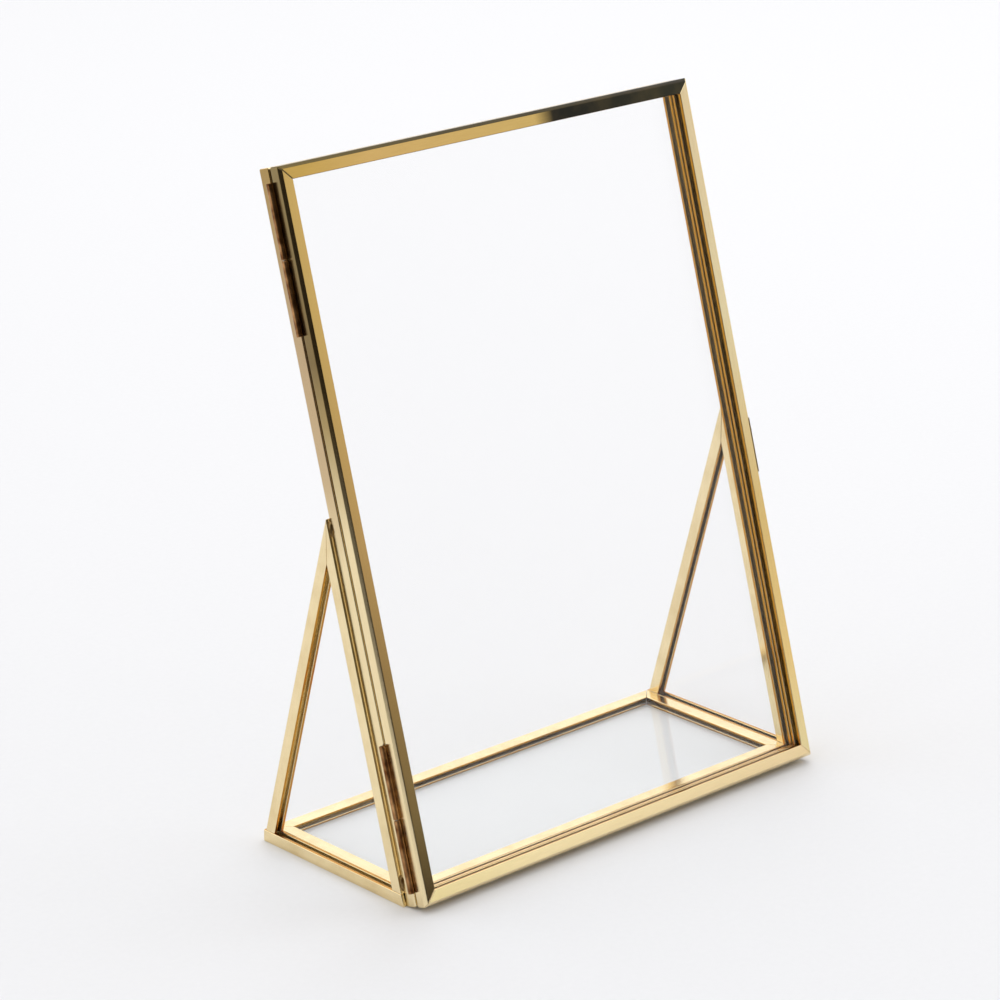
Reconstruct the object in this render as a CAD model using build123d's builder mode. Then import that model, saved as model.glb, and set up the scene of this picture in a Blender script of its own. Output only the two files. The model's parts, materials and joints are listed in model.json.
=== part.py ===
"""Standing glass picture frame: a hinged glass door on a leaning frame, carried by a glass tray and two glazed sides.

Millimetres, +Z up. The display panel leans back; its picture side looks towards -Y. The origin is the middle
of the footprint on the table. In the panel's own plane, x runs along the width, y up the lean and z to the front.
"""

import os
from math import cos, radians, sin, tan

from build123d import *

os.makedirs("parts", exist_ok=True)

# ---- driving dimensions: the leaning panel ----
panel_width = 158.0
panel_height = 208.0
lean_angle = 16.5
frame_gap = 0.5  # between the rear frame and the closed door

# the grooved strip that edges every pane
strip_width = 4.2  # how far it covers the glass, measured in the plane of the glass
strip_depth = 4.1  # how thick the panel's strips are through the glass
rear_chamfer = 0.3  # on the back edge of the rear frame
gap_chamfer = 0.4  # on the edges that face each other across the gap
front_chamfer = 0.9  # on the front edge of the door
edge_break = 0.3  # the small chamfer on the base and side strips
glass_thickness = 2.0
groove_depth = 2.2

# the base and the sides
base_depth = 60.6
base_height = 3.6
side_reach = 1.1  # how far the side frames stand outside the panel
side_thickness = 4.2
leg_width = 3.6
heel_setback = 1.0  # from the base's back edge to the foot of the rear leg
apex_rise = 111.0  # the top of the side frames, measured up the panel's back

# the hinges
barrel_diameter = 1.8
pin_diameter = 1.0
running_clearance = 0.05
barrel_offset = 0.8  # the hinge axis lies this far outside the panel's side
knuckle_length = 21.0
knuckle_gap = 0.3
hinge_inset = 4.2  # from the panel's end to the nearest knuckle
pin_recess = 0.4

# the catch
catch_length = 16.5
catch_start = 88.3
catch_clearance = 0.2
catch_thickness = 0.25
catch_tip = 1.4  # the tab ends this far in front of the panel's back
knob_rise = 101.0
knob_diameter = 1.8
knob_length = 1.0

# the solder
solder_length = 4.5
solder_reach = 0.9  # how far the fillet spreads over the leg, past the panel's side
solder_climb = 0.9  # how far it spreads up the rear frame's side
solder_setback = 1.0  # from the foot and from the apex to the nearest fillet

# ---- derived dimensions ----
panel_depth = 2 * strip_depth + frame_gap
door_back = strip_depth + frame_gap
lean_rise = cos(radians(lean_angle))
lean_run = sin(radians(lean_angle))
lean_slope = tan(radians(lean_angle))
foot_y = (panel_depth * lean_rise - front_chamfer * lean_run - base_depth) / 2
back_y = foot_y + base_depth
half_width = panel_width / 2
side_outer = half_width + side_reach
side_inner = side_outer - side_thickness
pane_inset = strip_width - groove_depth

panel = Plane(origin=(0, foot_y, 0), x_dir=(1, 0, 0), z_dir=(0, -lean_rise, lean_run))


def finish(piece, name):
    """Labels a finished piece and writes it out under its own name."""
    piece.part.label = name
    export_step(piece.part, f"parts/{name}.step")


def outline(plane, corners):
    """A flat shape with these corners on a plane."""
    with BuildSketch(plane) as shape:
        with BuildLine():
            Polyline(*corners, close=True)
        make_face()
    return shape.sketch


def rail_section(depth, width, chamfers):
    """A strip's section with its outer side at x = 0: grooved for the glass inside, chamfered back and front."""
    wall = (depth - glass_thickness) / 2
    grooved_side = (
        (width, 0),
        (width, wall),
        (width - groove_depth, wall),
        (width - groove_depth, wall + glass_thickness),
        (width, wall + glass_thickness),
        (width, depth),
    )
    if chamfers is None:
        return grooved_side + ((0, depth), (0, 0))
    back_chamfer, far_chamfer = chamfers
    outer_side = (
        (far_chamfer, depth),
        (0, depth - far_chamfer),
        (0, back_chamfer),
        (back_chamfer, 0),
    )
    return grooved_side + outer_side


# ---- the rear frame and the door: four mitred strips and a pane each ----
def panel_rail(turn, depth_start, chamfers):
    """One mitred strip of a panel frame: the bottom one, or that one turned about the middle of the panel."""
    half_run = (panel_width if turn % 180 == 0 else panel_height) / 2
    half_drop = (panel_height if turn % 180 == 0 else panel_width) / 2
    face = Plane(
        origin=panel.from_local_coords((0, panel_height / 2, depth_start)),
        x_dir=panel.x_dir.rotate(Axis((0, 0, 0), panel.z_dir), turn),
        z_dir=panel.z_dir,
    )
    end = Plane(
        origin=face.from_local_coords((-half_run, -half_drop, 0)),
        x_dir=face.y_dir,
        z_dir=face.x_dir,
    )
    mitred = (
        (-half_run, -half_drop),
        (half_run, -half_drop),
        (half_run - strip_width, strip_width - half_drop),
        (strip_width - half_run, strip_width - half_drop),
    )
    with BuildPart() as rail:
        extrude(outline(end, rail_section(strip_depth, strip_width, chamfers)), amount=2 * half_run)
        extrude(outline(face, mitred), amount=strip_depth, mode=Mode.INTERSECT)
    return rail


def panel_glass(depth_start):
    """A pane that fills the grooves of a panel frame."""
    wall = (strip_depth - glass_thickness) / 2
    face = Plane(
        origin=panel.from_local_coords((0, panel_height / 2, depth_start + wall)),
        x_dir=panel.x_dir,
        z_dir=panel.z_dir,
    )
    with BuildPart() as pane:
        with BuildSketch(face):
            Rectangle(panel_width - 2 * pane_inset, panel_height - 2 * pane_inset)
        extrude(amount=glass_thickness)
    return pane


panel_frames = (
    ("rear_frame", 0, (rear_chamfer, gap_chamfer)),
    ("door", door_back, (gap_chamfer, front_chamfer)),
)
for frame_name, frame_start, frame_chamfers in panel_frames:
    finish(panel_rail(0, frame_start, frame_chamfers), f"{frame_name}_bottom_rail")
    finish(panel_rail(90, frame_start, frame_chamfers), f"{frame_name}_right_stile")
    finish(panel_rail(180, frame_start, frame_chamfers), f"{frame_name}_top_rail")
    finish(panel_rail(270, frame_start, frame_chamfers), f"{frame_name}_left_stile")
    finish(panel_glass(frame_start), f"{frame_name}_glass")


# ---- the tray: four grooved strips lying on the table around a pane ----
tray_wall = (base_height - glass_thickness) / 2
tray_front_top = foot_y + base_height * lean_slope
tray_front_inner = tray_front_top + strip_width
tray_back_inner = back_y - strip_width
tray_side_inner = side_inner - strip_width
tray_pane_front = tray_front_inner - groove_depth
tray_pane_back = tray_back_inner + groove_depth
tray_pane_half = tray_side_inner + groove_depth


def tray_rail(plane, section, run, mitred):
    """One strip of the tray: its section run along the plane's normal, cut by its two mitres."""
    with BuildPart() as rail:
        extrude(outline(plane, section), amount=run)
        extrude(outline(Plane.XY, mitred), amount=base_height, mode=Mode.INTERSECT)
    return rail


front_section = (
    (foot_y, 0),
    (tray_front_inner, 0),
    (tray_front_inner, tray_wall),
    (tray_pane_front, tray_wall),
    (tray_pane_front, tray_wall + glass_thickness),
    (tray_front_inner, tray_wall + glass_thickness),
    (tray_front_inner, base_height),
    (tray_front_top, base_height),
)
front_mitres = (
    (-side_inner, foot_y),
    (side_inner, foot_y),
    (side_inner, tray_front_top),
    (tray_side_inner, tray_front_inner),
    (-tray_side_inner, tray_front_inner),
    (-side_inner, tray_front_top),
)
finish(
    tray_rail(Plane.YZ.offset(-side_inner), front_section, 2 * side_inner, front_mitres),
    "tray_front_rail",
)

rear_plane = Plane(origin=(-side_inner, back_y, 0), x_dir=(0, -1, 0), z_dir=(-1, 0, 0))
rear_mitres = (
    (-side_inner, back_y),
    (side_inner, back_y),
    (tray_side_inner, tray_back_inner),
    (-tray_side_inner, tray_back_inner),
)
rear_section = rail_section(base_height, strip_width, (edge_break, edge_break))
finish(tray_rail(rear_plane, rear_section, -2 * side_inner, rear_mitres), "tray_rear_rail")

for side_name, side in (("left", -1), ("right", 1)):
    side_plane = Plane(origin=(side * side_inner, back_y, 0), x_dir=(-side, 0, 0), z_dir=(0, side, 0))
    side_mitres = (
        (side * side_inner, tray_front_top),
        (side * tray_side_inner, tray_front_inner),
        (side * tray_side_inner, tray_back_inner),
        (side * side_inner, back_y),
    )
    finish(
        tray_rail(side_plane, rail_section(base_height, strip_width, None), -side * base_depth, side_mitres),
        f"tray_{side_name}_rail",
    )

with BuildPart() as tray_glass:
    with BuildSketch(Plane.XY.offset(tray_wall)):
        with Locations((0, (tray_pane_front + tray_pane_back) / 2)):
            Rectangle(2 * tray_pane_half, tray_pane_back - tray_pane_front)
    extrude(amount=glass_thickness)
finish(tray_glass, "tray_glass")


# ---- the sides: a bottom strip, two legs that meet at the apex, and a three-cornered pane ----
apex = Vector(foot_y + apex_rise * lean_run, apex_rise * lean_rise)
toe = Vector(tray_front_top, base_height)
heel = Vector(back_y - heel_setback, base_height)
front_along = (toe - apex).normalized()
rear_along = (heel - apex).normalized()
front_inward = Vector(-front_along.Y, front_along.X)
rear_inward = Vector(rear_along.Y, -rear_along.X)
half_apex = radians(rear_along.get_angle(front_along) / 2)
bisector = (front_along + rear_along).normalized()


def inset_apex(inset):
    """The apex of the triangle that lies this far inside the side frame's outline."""
    return apex + bisector * (inset / sin(half_apex))


def inset_foot(corner, along, inward, inset, level):
    """Where a leg's outer edge, moved inwards by the inset, comes down to a level."""
    start = corner + inward * inset
    return start + along * ((level - start.Y) / along.Y)


side_pane_inset = leg_width - groove_depth
side_pane_level = base_height - groove_depth
side_pane = (
    inset_apex(side_pane_inset),
    inset_foot(toe, front_along, front_inward, side_pane_inset, side_pane_level),
    inset_foot(heel, rear_along, rear_inward, side_pane_inset, side_pane_level),
)
side_outlines = {
    "front_leg": (
        toe,
        apex,
        inset_apex(leg_width),
        inset_foot(toe, front_along, front_inward, leg_width, base_height),
    ),
    "rear_leg": (
        heel,
        apex,
        inset_apex(leg_width),
        inset_foot(heel, rear_along, rear_inward, leg_width, base_height),
    ),
    "bottom_strip": (Vector(foot_y, 0), Vector(back_y, 0), Vector(back_y, base_height), toe),
}


def side_shape(offset, corners):
    """A flat shape across the width at an offset, from corners given as y and z."""
    return outline(Plane.YZ.offset(offset), [(corner.X, corner.Y) for corner in corners])


for side_name, side in (("left", -1), ("right", 1)):
    side_start = side_inner if side > 0 else -side_outer
    pane_start = side_start + (side_thickness - glass_thickness) / 2
    for piece_name, corners in side_outlines.items():
        with BuildPart() as side_piece:
            extrude(side_shape(side_start, corners), amount=side_thickness)
            outer_face = side_piece.faces().sort_by(Axis.X)[-1 if side > 0 else 0]
            long_edges = outer_face.edges().sort_by(SortBy.LENGTH)[-2:]
            chamfer(long_edges, edge_break)
            extrude(side_shape(pane_start, side_pane), amount=glass_thickness, mode=Mode.SUBTRACT)
        finish(side_piece, f"{side_name}_side_{piece_name}")
    with BuildPart() as side_glass:
        extrude(side_shape(pane_start, side_pane), amount=glass_thickness)
    finish(side_glass, f"{side_name}_side_glass")


# ---- the two hinges: a knuckle on each frame and a pin, in the groove along the left side ----
barrel_x = -half_width - barrel_offset
barrel_depth = strip_depth + frame_gap / 2


def across_panel(x, rise, depth):
    """The plane square to the hinge axis at a point of the panel; its y runs towards the back."""
    return Plane(
        origin=panel.from_local_coords((x, rise, depth)),
        x_dir=panel.x_dir,
        z_dir=panel.y_dir,
    )


def knuckle(rise, bore_diameter, toward):
    """A tube with a saddle that covers the chamfer of its own frame: the rear one (1) or the door's (-1)."""
    end = across_panel(barrel_x, rise, barrel_depth)
    saddle = (
        (0, 0),
        (barrel_offset, toward * (frame_gap / 2 + gap_chamfer)),
        (barrel_offset + gap_chamfer, toward * frame_gap / 2),
    )
    with BuildPart() as tube:
        extrude(outline(end, saddle), amount=knuckle_length)
        with BuildSketch(end):
            Circle(barrel_diameter / 2)
        extrude(amount=knuckle_length)
        with BuildSketch(end):
            Circle(bore_diameter / 2)
        extrude(amount=knuckle_length, mode=Mode.SUBTRACT)
    return tube


hinge_rises = {
    "upper": panel_height - hinge_inset - 2 * knuckle_length - knuckle_gap,
    "lower": hinge_inset,
}
pin_length = 2 * knuckle_length + knuckle_gap - 2 * pin_recess
for hinge_name, hinge_rise in hinge_rises.items():
    door_rise = hinge_rise + knuckle_length + knuckle_gap
    finish(knuckle(hinge_rise, pin_diameter, 1), f"{hinge_name}_hinge_frame_knuckle")
    finish(
        knuckle(door_rise, pin_diameter + 2 * running_clearance, -1),
        f"{hinge_name}_hinge_door_knuckle",
    )
    with BuildPart() as hinge_pin:
        with BuildSketch(across_panel(barrel_x, hinge_rise + pin_recess, barrel_depth)):
            Circle(pin_diameter / 2)
        extrude(amount=pin_length)
    finish(hinge_pin, f"{hinge_name}_hinge_pin")


# ---- the catch on the door's free side: a thin sprung tab that reaches past the rear frame, and its knob ----
door_flat_back = door_back + gap_chamfer
door_flat_front = panel_depth - front_chamfer
jog_front = door_back + catch_clearance
turn_allowance = catch_thickness * tan(radians(45 / 2))  # how far the outer corners of a 45 degree fold shift
catch_section = (
    (-front_chamfer, -panel_depth),
    (0, -door_flat_front),
    (0, -jog_front),
    (catch_clearance, -door_back),
    (catch_clearance, -catch_tip),
    (catch_clearance + catch_thickness, -catch_tip),
    (catch_clearance + catch_thickness, -door_back - turn_allowance),
    (catch_thickness, -jog_front - turn_allowance),
    (catch_thickness, -door_flat_front - turn_allowance),
    (catch_thickness - front_chamfer + turn_allowance, -panel_depth),
)
with BuildPart() as catch_tab:
    extrude(outline(across_panel(half_width, catch_start, 0), catch_section), amount=catch_length)
finish(catch_tab, "catch_tab")

knob_plane = Plane(
    origin=panel.from_local_coords(
        (half_width + catch_thickness, knob_rise, (door_flat_back + door_flat_front) / 2)
    ),
    x_dir=panel.y_dir,
    z_dir=(1, 0, 0),
)
with BuildPart() as catch_knob:
    with BuildSketch(knob_plane):
        Circle(knob_diameter / 2)
    extrude(amount=knob_length)
    chamfer(catch_knob.edges().sort_by(Axis.X)[-1], edge_break)
finish(catch_knob, "catch_knob")


# ---- the solder that joins the rear frame to the front legs, near the foot and near the apex ----
solder_rises = (solder_setback + base_height, apex_rise - solder_setback - solder_length)
for side_name, side in (("left", -1), ("right", 1)):
    fillet_section = (
        (-side * rear_chamfer, 0),
        (0, -rear_chamfer),
        (0, -solder_climb),
        (side * solder_reach, 0),
    )
    with BuildPart() as side_solder:
        for rise in solder_rises:
            extrude(outline(across_panel(side * half_width, rise, 0), fillet_section), amount=solder_length)
    finish(side_solder, f"{side_name}_side_solder")
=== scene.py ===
"""Standing glass picture frame, built as a Blender add-on that is run as a script.

Metres, +Z up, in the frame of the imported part. The picture side looks towards -Y.
"""

import json
from math import cos, pi, radians, sin

import bmesh
import bpy
from bpy.props import FloatProperty, FloatVectorProperty, IntProperty, PointerProperty, StringProperty
from bpy.types import Operator, Panel, PropertyGroup
from mathutils import Matrix, Vector, noise


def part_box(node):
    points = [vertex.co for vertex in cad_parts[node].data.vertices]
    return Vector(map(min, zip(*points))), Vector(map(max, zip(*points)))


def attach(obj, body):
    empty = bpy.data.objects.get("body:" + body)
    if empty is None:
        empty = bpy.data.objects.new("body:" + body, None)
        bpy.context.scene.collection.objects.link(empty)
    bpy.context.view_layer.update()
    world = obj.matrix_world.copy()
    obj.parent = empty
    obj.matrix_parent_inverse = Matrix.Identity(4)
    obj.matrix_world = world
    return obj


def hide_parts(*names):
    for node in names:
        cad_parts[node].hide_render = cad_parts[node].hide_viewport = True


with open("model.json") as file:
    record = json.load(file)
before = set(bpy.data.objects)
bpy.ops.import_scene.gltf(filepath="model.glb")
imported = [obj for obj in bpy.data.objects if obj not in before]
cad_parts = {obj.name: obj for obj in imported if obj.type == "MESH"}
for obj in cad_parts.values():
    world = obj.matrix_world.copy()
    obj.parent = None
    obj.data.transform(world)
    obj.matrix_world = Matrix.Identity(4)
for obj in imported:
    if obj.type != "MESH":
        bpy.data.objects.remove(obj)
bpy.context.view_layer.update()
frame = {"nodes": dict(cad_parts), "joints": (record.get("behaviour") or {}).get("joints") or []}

bl_info = {
    "name": "Standing Glass Picture Frame",
    "version": (1, 0, 0),
    "blender": (4, 5, 0),
    "location": "View3D > Sidebar > Picture Frame",
    "description": "Builds a hinged glass picture frame with its tray, side frames and studio",
    "category": "Add Mesh",
}

MM = 0.001
TOUCHING = 1e-7  # metres within which two places count as one
CUT_SLACK = 1e-8  # metres within which a cut keeps a vertex that is already on it
EASE = 0.3  # the middle corner of a rounded rim, as a share of the rim's size
SHEET_ROUNDING = 0.06 * MM  # on the edges of the catch's thin sheet
WIDTH = Vector((1, 0, 0))
BACKWARD = Vector((0, 1, 0))
UPWARD = Vector((0, 0, 1))
HINGE = frame["joints"][0]
HINGE_POINT = Vector(HINGE["pos_m"])
UP_PANEL = -Vector(HINGE["axis"]).normalized()
FORWARD = WIDTH.cross(UP_PANEL).normalized()


# the room: dark parts by turn and height in degrees, the softness of their edges and their tone
DARK_PARTS = (
    ((-165, -58), (-1, 38), 3, (0.05, 0.045, 0.04, 1)),
    ((-5, 32), (36, 56), 3, (0.03, 0.03, 0.03, 1)),
)


def reach(node, direction):
    """The lowest and highest position of a CAD node along a direction."""
    places = [vertex.co.dot(direction) for vertex in frame["nodes"][node].data.vertices]
    return min(places), max(places)


# ---- settings ----
class FrameStripSettings(PropertyGroup):
    """Sizes of the brass strips that edge the panes."""

    rear_chamfer: FloatProperty(
        name="Rear Chamfer",
        description="Chamfer on the back edge of the rear frame",
        default=0.3 * MM,
        unit="LENGTH",
    )
    gap_chamfer: FloatProperty(
        name="Gap Chamfer",
        description="Chamfer on the edges that face each other across the gap",
        default=0.4 * MM,
        unit="LENGTH",
    )
    front_chamfer: FloatProperty(
        name="Front Chamfer",
        description="Chamfer on the front edge of the door",
        default=0.9 * MM,
        unit="LENGTH",
    )
    rounding: FloatProperty(
        name="Rounding",
        description="Size of the worn rounding on every edge of a strip",
        default=0.22 * MM,
        unit="LENGTH",
    )
    groove_width: FloatProperty(
        name="Groove Width",
        description="Width of the groove that takes the pane",
        default=2.1 * MM,
        unit="LENGTH",
    )
    groove_depth: FloatProperty(
        name="Groove Depth",
        description="Depth of the groove that takes the pane",
        default=2.25 * MM,
        unit="LENGTH",
    )
    solid_end: FloatProperty(
        name="Solid End",
        description="Length at the rear of a side frame's bottom strip that has no groove",
        default=4 * MM,
        unit="LENGTH",
    )
    seam: FloatProperty(
        name="Seam",
        description="Gap left on each side of a mitre",
        default=0.03 * MM,
        unit="LENGTH",
    )


class FrameHardwareSettings(PropertyGroup):
    """Sizes of the hinges, the catch and the solder."""

    pin_radius: FloatProperty(
        name="Pin Radius",
        description="Radius of the wire through each hinge",
        default=0.5 * MM,
        unit="LENGTH",
    )
    bore_radius: FloatProperty(
        name="Bore Radius",
        description="Radius of the hole in a hinge knuckle",
        default=0.55 * MM,
        unit="LENGTH",
    )
    barrel_radius: FloatProperty(
        name="Barrel Radius",
        description="Outer radius of a hinge knuckle",
        default=0.9 * MM,
        unit="LENGTH",
    )
    barrel_segments: IntProperty(
        name="Barrel Segments",
        description="Segments around a hinge knuckle",
        default=48,
        min=12,
    )
    barrel_rim: FloatProperty(
        name="Barrel Rim",
        description="Size of the rounding at the ends of a hinge knuckle",
        default=0.15 * MM,
        unit="LENGTH",
    )
    pin_dome: FloatProperty(
        name="Pin Dome",
        description="Size of the rounding at the ends of a hinge wire",
        default=0.2 * MM,
        unit="LENGTH",
    )
    sheet: FloatProperty(
        name="Catch Sheet",
        description="Thickness of the sprung brass of the catch",
        default=0.25 * MM,
        unit="LENGTH",
    )
    knob_segments: IntProperty(
        name="Knob Segments",
        description="Segments around the catch's knob",
        default=32,
        min=12,
    )
    bead_radius: FloatProperty(
        name="Bead Radius",
        description="Radius of a run of solder",
        default=0.75 * MM,
        unit="LENGTH",
    )
    bead_length: FloatProperty(
        name="Bead Length",
        description="Length of a run of solder",
        default=4.5 * MM,
        unit="LENGTH",
    )
    bead_unevenness: FloatProperty(
        name="Bead Unevenness",
        description="How far a run of solder strays from its even shape, as a share of its size",
        default=0.22,
        subtype="FACTOR",
    )


class FrameFinishSettings(PropertyGroup):
    """Colours of the metals, the glass and the paper."""

    brass: StringProperty(
        name="Brass",
        description="Colour of the rubbed brass strips",
        default="#FBE7B8",
    )
    tarnish: StringProperty(
        name="Tarnish",
        description="Colour of the brass where its finish has darkened",
        default="#CDAC6B",
    )
    # the strips' inner sides take this darker orange-brown as painted shade inside the frame
    channel: StringProperty(
        name="Channel Brass",
        description="Colour of the strips' inner sides, which are never rubbed",
        default="#C98F30",
    )
    barrel: StringProperty(
        name="Barrel Brass",
        description="Colour of the dark hinge knuckles",
        default="#BE9060",
    )
    steel: StringProperty(
        name="Pin Steel",
        description="Colour of the drawn wire",
        default="#A9A49A",
    )
    solder: StringProperty(
        name="Solder",
        description="Colour of the solder under its brass wash",
        default="#A98F63",
    )
    glass: StringProperty(
        name="Glass",
        description="Tint of the clear float glass",
        default="#FDFDFD",
    )
    paper: StringProperty(
        name="Paper",
        description="Colour of the floor's white paper",
        default="#E4E4E6",
    )
    paper_fibre: StringProperty(
        name="Paper Fibre",
        description="Colour of the fibres in the floor's white paper",
        default="#E1E1E3",
    )
    barrel_pits: StringProperty(
        name="Barrel Pits",
        description="Darkest colour of the hinge knuckles",
        default="#6B4222",
    )
    steel_pits: StringProperty(
        name="Pin Steel Pits",
        description="Darkest colour of the drawn wire",
        default="#6E6A62",
    )
    solder_pits: StringProperty(
        name="Solder Pits",
        description="Darkest colour of the solder",
        default="#6B5534",
    )


class FrameStageSettings(PropertyGroup):
    """Camera, floor and light."""

    camera_place: FloatVectorProperty(
        name="Camera Place",
        description="Where the camera stands",
        default=(-0.7016, -0.7249, 0.4507),
        subtype="TRANSLATION",
        unit="LENGTH",
    )
    azimuth: FloatProperty(
        name="Azimuth",
        description="Turn of the camera about the vertical, 0 looking along +Y",
        default=radians(-43.26),
        subtype="ANGLE",
    )
    elevation: FloatProperty(
        name="Elevation",
        description="How far the camera looks down",
        default=radians(19.469),
        subtype="ANGLE",
    )
    roll: FloatProperty(
        name="Roll",
        description="Turn of the camera about its own axis",
        default=radians(0.29),
        subtype="ANGLE",
    )
    lens: FloatProperty(
        name="Lens",
        description="Focal length on a 36 mm wide sensor",
        default=133.74,
        unit="CAMERA",
    )
    floor_radius: FloatProperty(
        name="Floor Radius",
        description="Half the width of the paper floor",
        default=6.0,
        unit="LENGTH",
    )
    dome_strength: FloatProperty(
        name="Dome Strength",
        description="Brightness of the white room overhead",
        default=1.25,
    )
    key_power: FloatProperty(
        name="Key Power",
        description="Power of the large light overhead",
        default=6.6,
        unit="POWER",
    )
    key_size: FloatProperty(
        name="Key Size",
        description="Width of the large light overhead",
        default=1.4,
        unit="LENGTH",
    )
    key_place: FloatVectorProperty(
        name="Key Place",
        description="Where the large light stands",
        default=(0.85, 0.5, 1.5),
        subtype="TRANSLATION",
        unit="LENGTH",
    )
    key_target: FloatVectorProperty(
        name="Key Target",
        description="The point that the large light is aimed at",
        default=(0.2, 0.1, 0),
        subtype="TRANSLATION",
        unit="LENGTH",
    )


# ---- colours and nodes ----
def linear(hex_colour):
    """An sRGB hex colour as linear red, green, blue and alpha."""
    channels = []
    for start in (1, 3, 5):
        value = int(hex_colour[start : start + 2], 16) / 255
        channels.append(value / 12.92 if value <= 0.04045 else ((value + 0.055) / 1.055) ** 2.4)
    return (*channels, 1.0)


def add_node(tree, kind, settings=None, **inputs):
    """Adds a node, sets its properties, and sets or links its inputs by name, or by number as i0, i1 and so on."""
    node = tree.nodes.new(kind)
    for name, value in (settings or {}).items():
        setattr(node, name, value)
    for name, value in inputs.items():
        numbered = name[0] == "i" and name[1:].isdigit()
        socket = node.inputs[int(name[1:]) if numbered else name.replace("_", " ")]
        if isinstance(value, bpy.types.NodeSocket):
            tree.links.new(value, socket)
        else:
            socket.default_value = value
    return node


def new_material(name):
    """A material with an empty node tree and its output."""
    material = bpy.data.materials.new(name)
    material.use_nodes = True
    material.node_tree.nodes.clear()
    output = material.node_tree.nodes.new("ShaderNodeOutputMaterial")
    return material, material.node_tree, output


def colour_steps(tree, factor, steps):
    """A colour ramp over a factor, from pairs of position and colour."""
    ramp = add_node(tree, "ShaderNodeValToRGB", i0=factor)
    elements = ramp.color_ramp.elements
    while len(elements) < len(steps):
        elements.new(0.5)
    for element, (position, colour) in zip(elements, steps):
        element.position = position
        element.color = colour
    return ramp


def brushed_brass(name, clean, dark, dark_share, roughness, ends=(0, 1)):
    """Brass strip, drawn and rubbed along its length, under an aged lacquer.

    It gives the eye soft streaks along each strip, a slow drift between gold and olive, and slightly wavy glints.
    The clean colour is one colour, or pairs of place and colour from one end of the strip to the other, which are
    painted reflections. The ends are the strip's two ends in metres along it.
    """
    material, tree, output = new_material(name)
    along = add_node(tree, "ShaderNodeUVMap", {"uv_map": "grain"}).outputs["UV"]
    place = add_node(tree, "ShaderNodeTexCoord").outputs["Object"]
    # drawn lines 0.15 mm apart, 8 mm long: the finest that still shows
    stretched = add_node(tree, "ShaderNodeMapping", Vector=along, Scale=(1 / (8 * MM), 1 / (0.15 * MM), 1)).outputs[0]
    lines = add_node(tree, "ShaderNodeTexNoise", Vector=stretched, Scale=1.0, Detail=3.0).outputs[0]
    # patches of tarnish about 9 mm across
    patches = add_node(
        tree, "ShaderNodeTexNoise", Vector=place, Scale=1 / (9 * MM), Detail=4.0, Roughness=0.6
    ).outputs[0]
    # the strip's own slight waviness, about 14 mm from crest to crest
    waves = add_node(tree, "ShaderNodeTexNoise", Vector=place, Scale=1 / (14 * MM), Detail=1.0).outputs[0]
    tone = add_node(
        tree, "ShaderNodeMapRange", Value=patches, From_Min=0.4, From_Max=0.9, To_Max=dark_share
    ).outputs[0]
    if isinstance(clean, str):
        ground = linear(clean)
    else:
        # painted reflections: the clean colours laid along the strip from one end to the other
        run = add_node(tree, "ShaderNodeSeparateXYZ", Vector=along).outputs[0]
        share = add_node(tree, "ShaderNodeMapRange", Value=run, From_Min=ends[0], From_Max=ends[1]).outputs[0]
        ground = colour_steps(tree, share, [(step, linear(shade)) for step, shade in clean]).outputs[0]
    colour = add_node(tree, "ShaderNodeMix", {"data_type": "RGBA"}, i0=tone, i6=ground, i7=linear(dark)).outputs[2]
    streaks = colour_steps(tree, lines, ((0.3, (0.9, 0.89, 0.87, 1)), (0.7, (1, 1, 1, 1)))).outputs[0]
    toned = add_node(
        tree, "ShaderNodeMix", {"data_type": "RGBA", "blend_type": "MULTIPLY"}, i0=1.0, i6=colour, i7=streaks
    ).outputs[2]
    gloss = add_node(
        tree, "ShaderNodeMapRange", Value=lines, To_Min=roughness - 0.03, To_Max=roughness + 0.05
    ).outputs[0]
    wavy = add_node(tree, "ShaderNodeBump", Strength=0.35, Distance=0.06 * MM, Height=waves).outputs[0]
    grain = add_node(tree, "ShaderNodeBump", Strength=0.25, Distance=0.008 * MM, Height=lines, Normal=wavy).outputs[0]
    # the drawn lines spread a highlight across the strip, not along it
    lengthwise = add_node(tree, "ShaderNodeTangent", {"direction_type": "UV_MAP", "uv_map": "grain"}).outputs[0]
    shader = add_node(
        tree,
        "ShaderNodeBsdfPrincipled",
        Base_Color=toned,
        Metallic=1.0,
        Roughness=gloss,
        Normal=grain,
        Tangent=lengthwise,
        Anisotropic=0.8,
        Anisotropic_Rotation=0.25,
    )
    tree.links.new(shader.outputs[0], output.inputs[0])
    return material


def cast_metal(name, clean, dark, roughness, grain_mm, bump):
    """A small metal part with no drawn lines: it gives the eye a mottled tone and a fine pitted skin."""
    material, tree, output = new_material(name)
    place = add_node(tree, "ShaderNodeTexCoord").outputs["Object"]
    mottle = add_node(tree, "ShaderNodeTexNoise", Vector=place, Scale=1 / (3 * MM), Detail=5.0).outputs[0]
    pits = add_node(tree, "ShaderNodeTexNoise", Vector=place, Scale=1 / (grain_mm * MM), Detail=2.0).outputs[0]
    colour = colour_steps(tree, mottle, ((0.35, linear(dark)), (0.65, linear(clean)))).outputs[0]
    gloss = add_node(
        tree, "ShaderNodeMapRange", Value=pits, To_Min=roughness - 0.06, To_Max=roughness + 0.1
    ).outputs[0]
    skin = add_node(tree, "ShaderNodeBump", Strength=bump, Distance=0.03 * MM, Height=pits).outputs[0]
    shader = add_node(
        tree, "ShaderNodeBsdfPrincipled", Base_Color=colour, Metallic=1.0, Roughness=gloss, Normal=skin
    )
    tree.links.new(shader.outputs[0], output.inputs[0])
    return material


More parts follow.
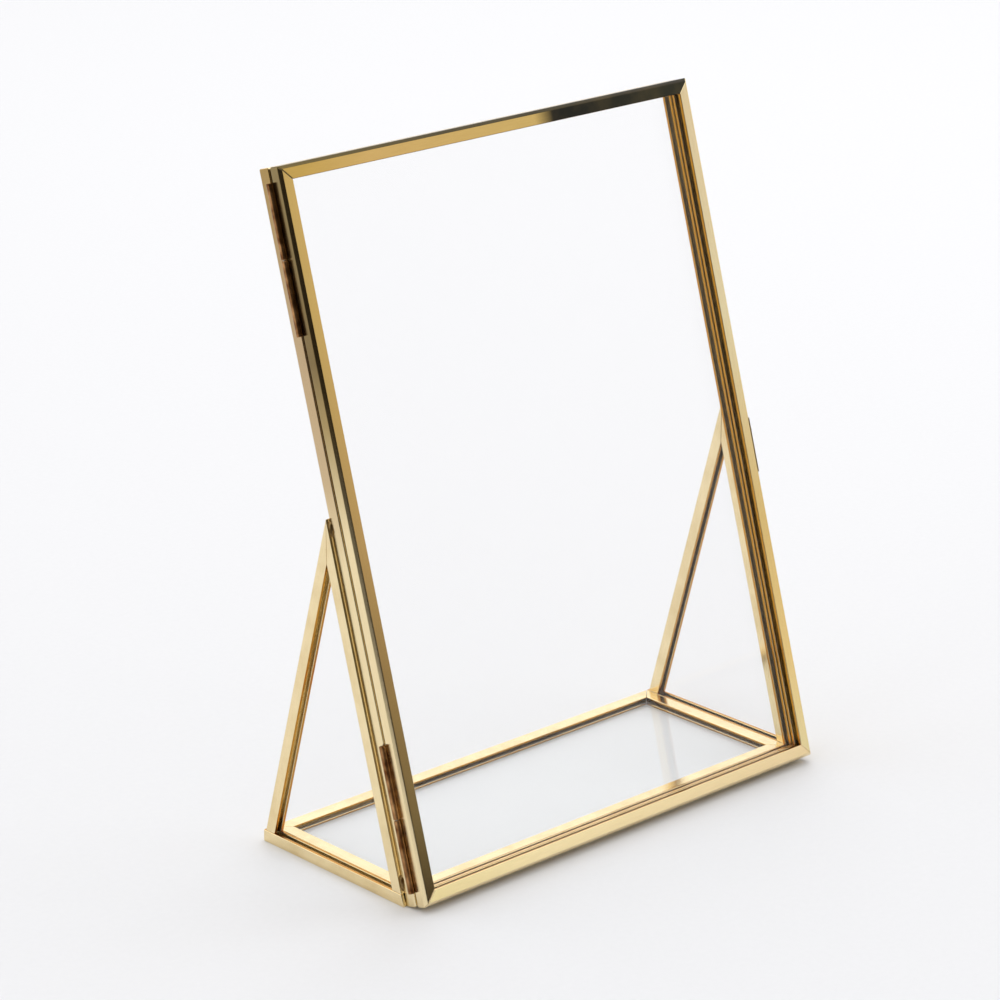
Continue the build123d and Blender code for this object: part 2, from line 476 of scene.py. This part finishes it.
def float_glass(name, tint):
    """Clear float glass, 2 mm, coated for pictures: it gives the eye a faint crisp mirror and a barely cool tint.

    Its shadow and the light scattered by what stands behind it are let through, as by a thin clear pane.
    """
    material, tree, output = new_material(name)
    place = add_node(tree, "ShaderNodeTexCoord").outputs["Object"]
    # the film left by a cloth, in swirls about 30 mm across
    film = add_node(
        tree, "ShaderNodeTexNoise", Vector=place, Scale=1 / (30 * MM), Detail=3.0, Distortion=1.5
    ).outputs[0]
    gloss = add_node(tree, "ShaderNodeMapRange", Value=film, From_Min=0.45, From_Max=0.8, To_Max=0.002).outputs[0]
    pane = add_node(
        tree,
        "ShaderNodeBsdfPrincipled",
        Base_Color=linear(tint),
        Roughness=gloss,
        IOR=1.18,
        Transmission_Weight=1.0,
    )
    clear = add_node(tree, "ShaderNodeBsdfTransparent", Color=(0.99, 0.995, 0.995, 1))
    path = add_node(tree, "ShaderNodeLightPath").outputs
    soft = add_node(
        tree, "ShaderNodeMath", {"operation": "MAXIMUM"}, i0=path["Is Shadow Ray"], i1=path["Is Diffuse Ray"]
    ).outputs[0]
    both = add_node(tree, "ShaderNodeMixShader", i0=soft, i1=pane.outputs[0], i2=clear.outputs[0])
    tree.links.new(both.outputs[0], output.inputs[0])
    return material


def paper(name, colour, fibre_colour):
    """Matte white background paper: it gives the eye a faint fibre tone and no gloss."""
    material, tree, output = new_material(name)
    place = add_node(tree, "ShaderNodeTexCoord").outputs["Object"]
    fibre = add_node(tree, "ShaderNodeTexNoise", Vector=place, Scale=1 / (2 * MM), Detail=2.0).outputs[0]
    tone = colour_steps(tree, fibre, ((0.0, linear(fibre_colour)), (1.0, linear(colour)))).outputs[0]
    shader = add_node(tree, "ShaderNodeBsdfPrincipled", Base_Color=tone, Roughness=0.9, Specular_IOR_Level=0.1)
    tree.links.new(shader.outputs[0], output.inputs[0])
    return material


STRIP_ROUGHNESS = 0.15
# what each kind of piece is made of
FINISH_NAMES = {
    "strip": "rubbed_brass_strip",
    "channel": "channel_brass_painted_shade",
    "barrel": "dark_brass_tube",
    "pin": "drawn_steel_wire",
    "catch": "sprung_brass_sheet",
    "solder": "brass_washed_solder",
    "glass": "clear_float_glass",
    "paper": "white_background_paper",
}


def finish_of(kind):
    """The material of a kind of piece, made once."""
    finish = bpy.context.scene.frame_finish
    name = FINISH_NAMES[kind]
    made = bpy.data.materials.get(name)
    if made:
        return made
    if kind == "strip":
        return brushed_brass(name, finish.brass, finish.tarnish, 0.5, STRIP_ROUGHNESS)
    if kind == "channel":
        return brushed_brass(name, finish.channel, finish.barrel, 0.3, 0.2)
    if kind == "catch":
        return brushed_brass(name, finish.solder, finish.tarnish, 0.8, 0.32)
    if kind == "barrel":
        return cast_metal(name, finish.barrel, finish.barrel_pits, 0.2, 0.3, 0.15)
    if kind == "pin":
        return cast_metal(name, finish.steel, finish.steel_pits, 0.22, 0.2, 0.1)
    if kind == "solder":
        return cast_metal(name, finish.solder, finish.solder_pits, 0.3, 0.5, 0.5)
    if kind == "glass":
        return float_glass(name, finish.glass)
    return paper(name, finish.paper, finish.paper_fibre)


def strip_finishes():
    """The two finishes of a strip: rubbed outside, and darker orange-brown on its inner side as painted shade."""
    return finish_of("strip"), finish_of("channel")


# how much tarnish drifts over a strip whose painted reflections are given below
FACE_TARNISH = 0.06
SIDE_TARNISH = 0.1
# painted reflections along some strips, the bright and dark room mirrored in the brass laid on as colour: share of the
# length, from the bottom or the left, and colour
FACE_PAINTED_REFLECTIONS = {
    "door_bottom_rail": ((0.0, "#E3D19A"), (0.3, "#EBD8A8"), (1.0, "#E2CA9D")),
    "door_top_rail": ((0.05, "#B5954F"), (0.2, "#C09F62"), (0.6, "#BC9F60"), (0.645, "#24231F"), (1.0, "#302F25")),
    "door_left_stile": ((0.0, "#483A24"), (0.1, "#705E3A"), (0.31, "#8F7447"), (0.5, "#AF8E58"), (0.8, "#BFA05F")),
    "door_right_stile": ((0.0, "#DFCF9D"), (0.15, "#D9BC7E"), (0.36, "#CAAE71"), (0.65, "#D2C39C"), (1.0, "#D0BC95")),
}
SIDE_PAINTED_REFLECTIONS = {
    "door_left_stile": ((0.5, "#FBE7B8"), (0.65, "#B49D6B"), (0.74, "#8A7650"), (1.0, "#97855C")),
    "door_top_rail": ((0.0, "#6E5E38"), (0.4, "#4C4430"), (1.0, "#36322A")),
    "rear_frame_left_stile": ((0.46, "#FBE7B8"), (0.58, "#D6BC94"), (0.8, "#C9AE88"), (1.0, "#B6985F")),
}


# ---- making pieces ----
def place_piece(name, shape, materials, body, replaced):
    """Turns a finished bmesh into an object that rides on a body and stands for CAD nodes."""
    mesh = bpy.data.meshes.new(name)
    shape.to_mesh(mesh)
    shape.free()
    for polygon in mesh.polygons:
        polygon.use_smooth = True
    piece = bpy.data.objects.new(name, mesh)
    bpy.context.scene.collection.objects.link(piece)
    for material in materials:
        mesh.materials.append(material)
    weighted = piece.modifiers.new("weighted_normals", "WEIGHTED_NORMAL")
    weighted.keep_sharp = True
    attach(piece, body)
    if replaced:
        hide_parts(*replaced)
    return piece


def everything(shape):
    """All the vertices, edges and faces of a bmesh, as a cut wants them."""
    return list(shape.verts) + list(shape.edges) + list(shape.faces)


def lay_grain(shape, along):
    """Lays the grain map: metres along the strip, and metres across each of its faces."""
    layer = shape.loops.layers.uv.new("grain")
    for face in shape.faces:
        across = face.normal.cross(along)
        if across.length < 0.1:
            # an end face, which looks along the strip
            across = along.orthogonal()
        across.normalize()
        for loop in face.loops:
            loop[layer].uv = (loop.vert.co.dot(along), loop.vert.co.dot(across))


def round_edges(shape, size, segments, least_angle=radians(25)):
    """Rounds every edge that turns more than an angle."""
    sharp = [edge for edge in shape.edges if len(edge.link_faces) == 2 and edge.calc_face_angle() > least_angle]
    bmesh.ops.bevel(
        shape,
        geom=sharp,
        offset=size,
        offset_type="OFFSET",
        segments=segments,
        profile=0.5,
        affect="EDGES",
        clamp_overlap=True,
        material=-1,
    )


def cut_off(shape, point, outward):
    """Cuts away what lies beyond a plane and closes the cut."""
    cut = bmesh.ops.bisect_plane(
        shape, geom=everything(shape), plane_co=point, plane_no=outward, clear_outer=True, dist=CUT_SLACK
    )
    rim = [part for part in cut["geom_cut"] if isinstance(part, bmesh.types.BMEdge)]
    bmesh.ops.edgenet_fill(shape, edges=rim)


def strip(along, inward, depthward, node, cuts, chamfers, facing=None, solid_end=0):
    """A brass strip in the place of a CAD node: chamfered outside, grooved inside, cut at its ends.

    Its inner side takes the channel brass, whose darker orange-brown is painted shade, and a face turned the facing
    way takes a third finish. The chamfers are at the low and the high end of the depth. The groove stops short of the
    far end by the length of the solid end.
    """
    sizes = bpy.context.scene.frame_strips
    low = [reach(node, direction)[0] for direction in (along, inward, depthward)]
    high = [reach(node, direction)[1] for direction in (along, inward, depthward)]
    length, width, depth = (top - bottom for top, bottom in zip(high, low))
    shape = bmesh.new()
    bmesh.ops.create_cube(shape, size=1.0, matrix=Matrix.Translation((0.5, 0.5, 0.5)))
    bmesh.ops.scale(shape, vec=(length, width, depth), verts=shape.verts)
    for level, size in zip((0, depth), chamfers):
        outer = [
            edge
            for edge in shape.edges
            if all(vertex.co.y < TOUCHING and abs(vertex.co.z - level) < TOUCHING for vertex in edge.verts)
        ]
        bmesh.ops.bevel(
            shape, geom=outer, offset=size, offset_type="OFFSET", segments=1, profile=0.5, affect="EDGES", material=-1
        )
    groove_start = (depth - sizes.groove_width) / 2
    groove_end = length - solid_end
    for point, outward in (
        ((0, 0, groove_start), (0, 0, 1)),
        ((0, 0, groove_start + sizes.groove_width), (0, 0, 1)),
        ((groove_end, 0, 0), (1, 0, 0)),
    ):
        bmesh.ops.bisect_plane(shape, geom=everything(shape), plane_co=point, plane_no=outward, dist=CUT_SLACK)
    # the mouth is the middle band of the inner side, as far as the groove goes
    mouth = []
    for face in shape.faces:
        middle = face.calc_center_median()
        if middle.y > width - TOUCHING and abs(middle.z - depth / 2) < depth / 8 and middle.x < groove_end:
            mouth.append(face)
    grown = bmesh.ops.extrude_face_region(shape, geom=mouth)["geom"]
    bmesh.ops.delete(shape, geom=mouth, context="FACES")
    sunk = [part for part in grown if isinstance(part, bmesh.types.BMVert)]
    bmesh.ops.translate(shape, vec=(0, -sizes.groove_depth, 0), verts=sunk)
    bmesh.ops.dissolve_limit(shape, angle_limit=radians(1), verts=shape.verts, edges=shape.edges)
    to_world = Matrix((along, inward, depthward)).transposed().to_4x4()
    to_world.translation = along * low[0] + inward * low[1] + depthward * low[2]
    bmesh.ops.transform(shape, matrix=to_world, verts=shape.verts)
    if to_world.determinant() < 0:
        bmesh.ops.reverse_faces(shape, faces=shape.faces)
    for point, outward in cuts:
        cut_off(shape, point - outward * sizes.seam, outward)
    bmesh.ops.recalc_face_normals(shape, faces=shape.faces)
    round_edges(shape, sizes.rounding, 3)
    shape.normal_update()
    lay_grain(shape, along)
    for face in shape.faces:
        # inner sides take the channel brass, its darker orange-brown a painted shade
        if face.normal.dot(inward) > 0.9:
            face.material_index = 1
        elif facing and face.normal.dot(facing) > 0.95:
            face.material_index = 2
    return shape


def mitres(along, inward, node):
    """The two 45 degree cuts at the ends of a strip, from its outer corners."""
    start, end = reach(node, along)
    outer = reach(node, inward)[0]
    return [
        (along * start + inward * outer, (inward - along).normalized()),
        (along * end + inward * outer, (inward + along).normalized()),
    ]


def panel_strips(prefix, body, chamfers):
    """The four mitred strips of one leaf of the panel, with their back and front chamfers."""
    layout = {
        "bottom_rail": (WIDTH, UP_PANEL),
        "top_rail": (WIDTH, -UP_PANEL),
        "left_stile": (UP_PANEL, WIDTH),
        "right_stile": (UP_PANEL, -WIDTH),
    }
    tarnish = bpy.context.scene.frame_finish.tarnish
    for part, (along, inward) in layout.items():
        node = f"{prefix}_{part}"
        side, channel = strip_finishes()
        ends = reach(node, along)
        # painted reflections: the strips listed above take the bright and dark room they mirror as colours laid along
        # their sides and faces
        if node in SIDE_PAINTED_REFLECTIONS:
            side = brushed_brass(
                f"{node}_side_painted_reflection", SIDE_PAINTED_REFLECTIONS[node], tarnish, SIDE_TARNISH, STRIP_ROUGHNESS, ends
            )
        face = side
        if node in FACE_PAINTED_REFLECTIONS:
            face = brushed_brass(
                f"{node}_face_painted_reflection", FACE_PAINTED_REFLECTIONS[node], tarnish, FACE_TARNISH, STRIP_ROUGHNESS, ends
            )
        shape = strip(along, inward, FORWARD, node, mitres(along, inward, node), chamfers, FORWARD)
        piece = place_piece(f"{node}_brass", shape, (side, channel, face), body, [node])


class FRAME_OT_panel(Operator):
    """Makes the eight mitred strips of the rear frame and the door"""

    bl_idname = "picture_frame.panel"
    bl_label = "Panel Strips"

    def execute(self, context):
        sizes = context.scene.frame_strips
        panel_strips("rear_frame", "stand", (sizes.rear_chamfer, sizes.gap_chamfer))
        panel_strips("door", "door", (sizes.gap_chamfer, sizes.front_chamfer))
        return {"FINISHED"}


class FRAME_OT_tray(Operator):
    """Makes the four mitred strips round the tray's pane"""

    bl_idname = "picture_frame.tray"
    bl_label = "Tray Strips"

    def execute(self, context):
        lean_point = Vector((0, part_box("tray_front_rail")[0].y, 0))
        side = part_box("tray_front_rail")[1].x
        front_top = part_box("tray_left_rail")[0].y
        layout = {
            "tray_front_rail": (WIDTH, BACKWARD),
            "tray_rear_rail": (WIDTH, -BACKWARD),
            "tray_left_rail": (BACKWARD, WIDTH),
            "tray_right_rail": (BACKWARD, -WIDTH),
        }
        for node, (along, inward) in layout.items():
            if node == "tray_front_rail":
                # the panel leans on it, so its front is cut along the panel's back
                cuts = [
                    (Vector((-side, front_top, 0)), Vector((-1, 1, 0)).normalized()),
                    (Vector((side, front_top, 0)), Vector((1, 1, 0)).normalized()),
                    (lean_point, FORWARD),
                ]
            else:
                cuts = mitres(along, inward, node)
            shape = strip(along, inward, UPWARD, node, cuts, ())
            piece = place_piece(f"{node}_brass", shape, strip_finishes(), "stand", [node])
        return {"FINISHED"}


class FRAME_OT_sides(Operator):
    """Makes the legs and bottom strips of the two side frames"""

    bl_idname = "picture_frame.sides"
    bl_label = "Side Frames"

    def execute(self, context):
        for hand in ("left", "right"):
            rear_node = f"{hand}_side_rear_leg"
            corners = [vertex.co for vertex in frame["nodes"][rear_node].data.vertices]
            apex = max(corners, key=lambda corner: corner.z).copy()
            heel = max(corners, key=lambda corner: corner.y).copy()
            apex.x = heel.x = 0
            down_rear = (heel - apex).normalized()
            down_front = -UP_PANEL
            middle = (down_rear + down_front).normalized()
            split = WIDTH.cross(middle).normalized()
            if split.y < 0:
                split = -split
            foot = Vector((0, 0, heel.z))
            toe = Vector((0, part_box(f"{hand}_side_bottom_strip")[0].y, 0))
            rear_inward = WIDTH.cross(down_rear).normalized()
            if rear_inward.y > 0:
                rear_inward = -rear_inward
            pieces = {
                f"{hand}_side_front_leg": (UP_PANEL, -FORWARD, [(apex, split), (foot, -UPWARD)]),
                rear_node: (-down_rear, rear_inward, [(apex, -split), (foot, -UPWARD)]),
                f"{hand}_side_bottom_strip": (BACKWARD, UPWARD, [(toe, FORWARD)]),
            }
            for node, (along, inward, cuts) in pieces.items():
                solid_end = context.scene.frame_strips.solid_end if inward == UPWARD else 0
                shape = strip(along, inward, WIDTH, node, cuts, (), solid_end=solid_end)
                piece = place_piece(f"{node}_brass", shape, strip_finishes(), "stand", [node])
        return {"FINISHED"}


def turned(profile, segments):
    """A round piece: an outline of radius and height, spun about the local Z axis."""
    shape = bmesh.new()
    corners = [shape.verts.new((radius, 0, height)) for radius, height in profile]
    edges = [shape.edges.new(pair) for pair in zip(corners, corners[1:])]
    bmesh.ops.spin(
        shape,
        geom=corners + edges,
        cent=(0, 0, 0),
        axis=(0, 0, 1),
        angle=2 * pi,
        steps=segments,
        use_merge=True,
        use_duplicate=False,
    )
    bmesh.ops.remove_doubles(shape, verts=shape.verts, dist=TOUCHING)
    bmesh.ops.recalc_face_normals(shape, faces=shape.faces)
    return shape


def hinge_place(rise):
    """The matrix that stands a turned piece on the hinge axis at a height up the panel."""
    matrix = Matrix((WIDTH, -FORWARD, UP_PANEL)).transposed().to_4x4()
    matrix.translation = HINGE_POINT + UP_PANEL * (rise - HINGE_POINT.dot(UP_PANEL))
    return matrix


class FRAME_OT_hinges(Operator):
    """Makes the knuckles and pins of the two hinges"""

    bl_idname = "picture_frame.hinges"
    bl_label = "Hinges"

    def knuckle(self, node, body, side):
        """A rolled tube with softened rims, and the saddle that joins it to its strip."""
        sizes = bpy.context.scene.frame_hardware
        low, high = reach(node, UP_PANEL)
        length = high - low
        rim = sizes.barrel_rim
        profile = (
            (sizes.bore_radius, 0),
            (sizes.barrel_radius - rim, 0),
            (sizes.barrel_radius - rim * EASE, rim * EASE),
            (sizes.barrel_radius, rim),
            (sizes.barrel_radius, length - rim),
            (sizes.barrel_radius - rim * EASE, length - rim * EASE),
            (sizes.barrel_radius - rim, length),
            (sizes.bore_radius, length),
            (sizes.bore_radius, 0),
        )
        shape = turned(profile, sizes.barrel_segments)
        # from inside the tube's wall to the two edges of the chamfer, in the tube's own axes (y towards the back)
        chamfer = bpy.context.scene.frame_strips.gap_chamfer
        offset = reach("door_left_stile", WIDTH)[0] - HINGE_POINT.x
        half_gap = abs(reach("door_left_stile", FORWARD)[0] - HINGE_POINT.dot(FORWARD))
        outer_edge = Vector((offset, -side * (half_gap + chamfer), rim))
        inner_edge = Vector((offset + chamfer, -side * half_gap, rim))
        within = sizes.barrel_radius * 0.75
        ends = [outer_edge.xy.normalized() * within, outer_edge.xy, inner_edge.xy, inner_edge.xy.normalized() * within]
        rim_face = shape.faces.new([shape.verts.new((*corner, rim)) for corner in ends])
        grown = bmesh.ops.extrude_face_region(shape, geom=[rim_face])["geom"]
        raised = [part for part in grown if isinstance(part, bmesh.types.BMVert)]
        bmesh.ops.translate(shape, vec=(0, 0, length - 2 * rim), verts=raised)
        bmesh.ops.recalc_face_normals(shape, faces=shape.faces)
        bmesh.ops.transform(shape, matrix=hinge_place(low), verts=shape.verts)
        piece = place_piece(f"{node}_tube", shape, [finish_of("barrel")], body, [node])

    def pin(self, node):
        """A wire with domed ends."""
        sizes = bpy.context.scene.frame_hardware
        low, high = reach(node, UP_PANEL)
        length = high - low
        dome = sizes.pin_dome
        profile = (
            (0, 0),
            (sizes.pin_radius - dome, 0),
            (sizes.pin_radius - dome * EASE, dome * EASE),
            (sizes.pin_radius, dome),
            (sizes.pin_radius, length - dome),
            (sizes.pin_radius - dome * EASE, length - dome * EASE),
            (sizes.pin_radius - dome, length),
            (0, length),
        )
        shape = turned(profile, sizes.barrel_segments // 2)
        bmesh.ops.transform(shape, matrix=hinge_place(low), verts=shape.verts)
        piece = place_piece(f"{node}_wire", shape, [finish_of("pin")], "stand", [node])

    def execute(self, context):
        for hinge in ("upper", "lower"):
            self.knuckle(f"{hinge}_hinge_frame_knuckle", "stand", -1)
            self.knuckle(f"{hinge}_hinge_door_knuckle", "door", 1)
            self.pin(f"{hinge}_hinge_pin")
        return {"FINISHED"}


class FRAME_OT_catch(Operator):
    """Makes the sprung tab on the door's free side, and its knob"""

    bl_idname = "picture_frame.catch"
    bl_label = "Catch"

    def execute(self, context):
        sizes = context.scene.frame_hardware
        chamfer = context.scene.frame_strips.front_chamfer
        side = reach("door_right_stile", WIDTH)[1]
        door_back, door_front = reach("door_right_stile", FORWARD)
        tip = reach("catch_tab", FORWARD)[0]
        low, high = reach("catch_tab", UP_PANEL)
        outside = reach("catch_tab", WIDTH)[1]
        clearance = outside - sizes.sheet - side
        bend = (
            (side - chamfer, door_front),
            (side, door_front - chamfer),
            (side, door_back + clearance),
            (side + clearance, door_back),
            (side + clearance, tip),
        )
        shape = bmesh.new()
        corners = [shape.verts.new(WIDTH * x + FORWARD * depth + UP_PANEL * low) for x, depth in bend]
        edges = [shape.edges.new(pair) for pair in zip(corners, corners[1:])]
        grown = bmesh.ops.extrude_edge_only(shape, edges=edges)["geom"]
        raised = [part for part in grown if isinstance(part, bmesh.types.BMVert)]
        bmesh.ops.translate(shape, vec=UP_PANEL * (high - low), verts=raised)
        bmesh.ops.recalc_face_normals(shape, faces=shape.faces)
        outward = sum((face.normal * face.calc_area() for face in shape.faces), Vector())
        if outward.dot(WIDTH) < 0:
            bmesh.ops.reverse_faces(shape, faces=shape.faces)
        bmesh.ops.solidify(shape, geom=shape.faces, thickness=-sizes.sheet)
        bmesh.ops.recalc_face_normals(shape, faces=shape.faces)
        round_edges(shape, SHEET_ROUNDING, 2)
        shape.normal_update()
        lay_grain(shape, UP_PANEL)
        tab = place_piece("catch_tab_sheet", shape, [finish_of("catch")], "door", ["catch_tab"])

        knob_low, knob_high = reach("catch_knob", WIDTH)
        radius = (reach("catch_knob", UP_PANEL)[1] - reach("catch_knob", UP_PANEL)[0]) / 2
        middle = sum(reach("catch_knob", UP_PANEL)) / 2
        level = sum(reach("catch_knob", FORWARD)) / 2
        height = knob_high - knob_low
        profile = (
            (0, 0),
            (radius * 0.7, 0),
            (radius * 0.6, height * 0.3),
            (radius * 0.95, height * 0.45),
            (radius, height * 0.6),
            (radius * 0.92, height * 0.78),
            (radius * 0.65, height * 0.94),
            (0, height),
        )
        shape = turned(profile, sizes.knob_segments)
        matrix = Matrix((FORWARD, UP_PANEL, WIDTH)).transposed().to_4x4()
        matrix.translation = WIDTH * knob_low + UP_PANEL * middle + FORWARD * level
        bmesh.ops.transform(shape, matrix=matrix, verts=shape.verts)
        bmesh.ops.recalc_face_normals(shape, faces=shape.faces)
        lay_grain(shape, UP_PANEL)
        knob = place_piece("catch_knob_turned", shape, [finish_of("catch")], "door", ["catch_knob"])
        return {"FINISHED"}


class FRAME_OT_solder(Operator):
    """Makes the uneven runs of solder between the rear frame and the side frames"""

    bl_idname = "picture_frame.solder"
    bl_label = "Solder"

    def bead(self, shape, middle, sizes):
        """One run of solder along the panel, uneven as it froze."""
        made = bmesh.ops.create_icosphere(shape, subdivisions=4, radius=1.0)["verts"]
        for vertex in made:
            # each run takes its own part of the noise
            lump = 1 + sizes.bead_unevenness * noise.noise(vertex.co * 1.7 + middle * 400)
            spread = vertex.co * lump
            vertex.co = (
                middle
                + WIDTH * spread.x * sizes.bead_radius
                + FORWARD * spread.y * sizes.bead_radius * 0.8
                + UP_PANEL * spread.z * sizes.bead_length / 2
            )

    def execute(self, context):
        sizes = context.scene.frame_hardware
        for hand, side in (("left", -1), ("right", 1)):
            node = f"{hand}_side_solder"
            low, high = reach(node, UP_PANEL)
            back = reach(node, FORWARD)[0]
            panel_side = reach("rear_frame_right_stile", WIDTH)[1]
            shape = bmesh.new()
            for rise in (low + sizes.bead_length / 2, high - sizes.bead_length / 2):
                middle = WIDTH * side * panel_side + FORWARD * (back + sizes.bead_radius * 0.3) + UP_PANEL * rise
                self.bead(shape, middle, sizes)
            bmesh.ops.recalc_face_normals(shape, faces=shape.faces)
            piece = place_piece(f"{node}_runs", shape, [finish_of("solder")], "stand", [node])
        return {"FINISHED"}


class FRAME_OT_glass(Operator):
    """Gives the five panes their glass"""

    bl_idname = "picture_frame.glass"
    bl_label = "Glass"

    def execute(self, context):
        for name, node in frame["nodes"].items():
            if name.endswith("_glass"):
                node.data.materials.clear()
                node.data.materials.append(finish_of("glass"))
        return {"FINISHED"}


class FRAME_OT_stage(Operator):
    """Makes the paper floor, the white room, the lights and the camera"""

    bl_idname = "picture_frame.stage"
    bl_label = "Studio"

    def floor(self, context):
        """A wide sheet of white paper."""
        stage = context.scene.frame_stage
        shape = bmesh.new()
        bmesh.ops.create_circle(shape, cap_ends=True, segments=64, radius=stage.floor_radius)
        mesh = bpy.data.meshes.new("paper_floor")
        shape.to_mesh(mesh)
        shape.free()
        floor = bpy.data.objects.new("paper_floor", mesh)
        context.scene.collection.objects.link(floor)
        mesh.materials.append(finish_of("paper"))

    def room(self, context):
        """A white room overhead, with dark parts that show only in reflections."""
        stage = context.scene.frame_stage
        world = bpy.data.worlds.new("white_room")
        context.scene.world = world
        world.use_nodes = True
        tree = world.node_tree
        tree.nodes.clear()
        output = tree.nodes.new("ShaderNodeOutputWorld")
        direction = add_node(tree, "ShaderNodeTexCoord").outputs["Generated"]
        parts = add_node(tree, "ShaderNodeSeparateXYZ", Vector=direction).outputs
        turn = add_node(tree, "ShaderNodeMath", {"operation": "ARCTAN2"}, i0=parts["Y"], i1=parts["X"]).outputs[0]

        def step(value, start, end):
            """0 at one value and 1 at another, with a smooth rise between them."""
            settings = {"interpolation_type": "SMOOTHSTEP"}
            return add_node(
                tree, "ShaderNodeMapRange", settings, Value=value, From_Min=start, From_Max=end
            ).outputs[0]

        def product(one, other):
            """Two values multiplied."""
            return add_node(tree, "ShaderNodeMath", {"operation": "MULTIPLY"}, i0=one, i1=other).outputs[0]

        def span(value, low, high, soft):
            """1 between two limits of a value and 0 outside, with soft edges."""
            return product(step(value, low - soft, low + soft), step(value, high + soft, high - soft))

        colour = (1, 1, 1, 1)
        for turns, heights, soft, tone in DARK_PARTS:
            wide = span(turn, radians(turns[0]), radians(turns[1]), radians(soft))
            tall = span(parts["Z"], sin(radians(heights[0])), sin(radians(heights[1])), radians(soft))
            share = product(wide, tall)
            colour = add_node(
                tree, "ShaderNodeMix", {"data_type": "RGBA"}, i0=share, i6=colour, i7=tone
            ).outputs[2]
        background = add_node(tree, "ShaderNodeBackground", Color=colour, Strength=stage.dome_strength)
        tree.links.new(background.outputs[0], output.inputs[0])

    def softbox(self, context):
        """A large square soft light, high behind the frame and to its right, aimed down at the floor."""
        stage = context.scene.frame_stage
        lamp = bpy.data.lights.new("overhead_softbox", "AREA")
        lamp.shape = "SQUARE"
        lamp.size = stage.key_size
        lamp.energy = stage.key_power
        light = bpy.data.objects.new("overhead_softbox", lamp)
        place = Vector(stage.key_place)
        light.location = place
        light.rotation_euler = (Vector(stage.key_target) - place).to_track_quat("-Z", "Y").to_euler()
        context.scene.collection.objects.link(light)

    def camera(self, context):
        """The camera, placed by its angles."""
        stage = context.scene.frame_stage
        lens = bpy.data.cameras.new("camera")
        lens.sensor_width = 36.0
        lens.lens = stage.lens
        camera = bpy.data.objects.new("camera", lens)
        camera.matrix_world = (
            Matrix.Translation(stage.camera_place)
            @ Matrix.Rotation(stage.azimuth, 4, "Z")
            @ Matrix.Rotation(pi / 2 - stage.elevation, 4, "X")
            @ Matrix.Rotation(stage.roll, 4, "Z")
        )
        context.scene.collection.objects.link(camera)
        context.scene.camera = camera

    def execute(self, context):
        context.scene.view_settings.view_transform = "Standard"
        self.floor(context)
        self.room(context)
        self.softbox(context)
        self.camera(context)
        return {"FINISHED"}


class FRAME_PT_builder(Panel):
    """Lists the pieces that can be built"""

    bl_idname = "FRAME_PT_builder"
    bl_label = "Picture Frame"
    bl_space_type = "VIEW_3D"
    bl_region_type = "UI"
    bl_category = "Picture Frame"

    def draw(self, context):
        for operator in OPERATORS:
            self.layout.operator(operator.bl_idname)
        for group in SETTINGS:
            for name in group.__annotations__:
                self.layout.prop(getattr(context.scene, SETTINGS[group]), name)


SETTINGS = {
    FrameStripSettings: "frame_strips",
    FrameHardwareSettings: "frame_hardware",
    FrameFinishSettings: "frame_finish",
    FrameStageSettings: "frame_stage",
}
OPERATORS = (
    FRAME_OT_panel,
    FRAME_OT_tray,
    FRAME_OT_sides,
    FRAME_OT_hinges,
    FRAME_OT_catch,
    FRAME_OT_solder,
    FRAME_OT_glass,
    FRAME_OT_stage,
)


def register():
    """Registers the settings, the operators and the panel."""
    for group, name in SETTINGS.items():
        bpy.utils.register_class(group)
        setattr(bpy.types.Scene, name, PointerProperty(type=group))
    for operator in OPERATORS:
        bpy.utils.register_class(operator)
    bpy.utils.register_class(FRAME_PT_builder)


def unregister():
    """Removes the panel, the operators and the settings."""
    bpy.utils.unregister_class(FRAME_PT_builder)
    for operator in reversed(OPERATORS):
        bpy.utils.unregister_class(operator)
    for group, name in SETTINGS.items():
        delattr(bpy.types.Scene, name)
        bpy.utils.unregister_class(group)


def main():
    """Registers the add-on and builds everything."""
    register()
    bpy.ops.picture_frame.stage()
    bpy.ops.picture_frame.panel()
    bpy.ops.picture_frame.tray()
    bpy.ops.picture_frame.sides()
    bpy.ops.picture_frame.hinges()
    bpy.ops.picture_frame.catch()
    bpy.ops.picture_frame.solder()
    bpy.ops.picture_frame.glass()


if __name__ == "__main__":
    main()
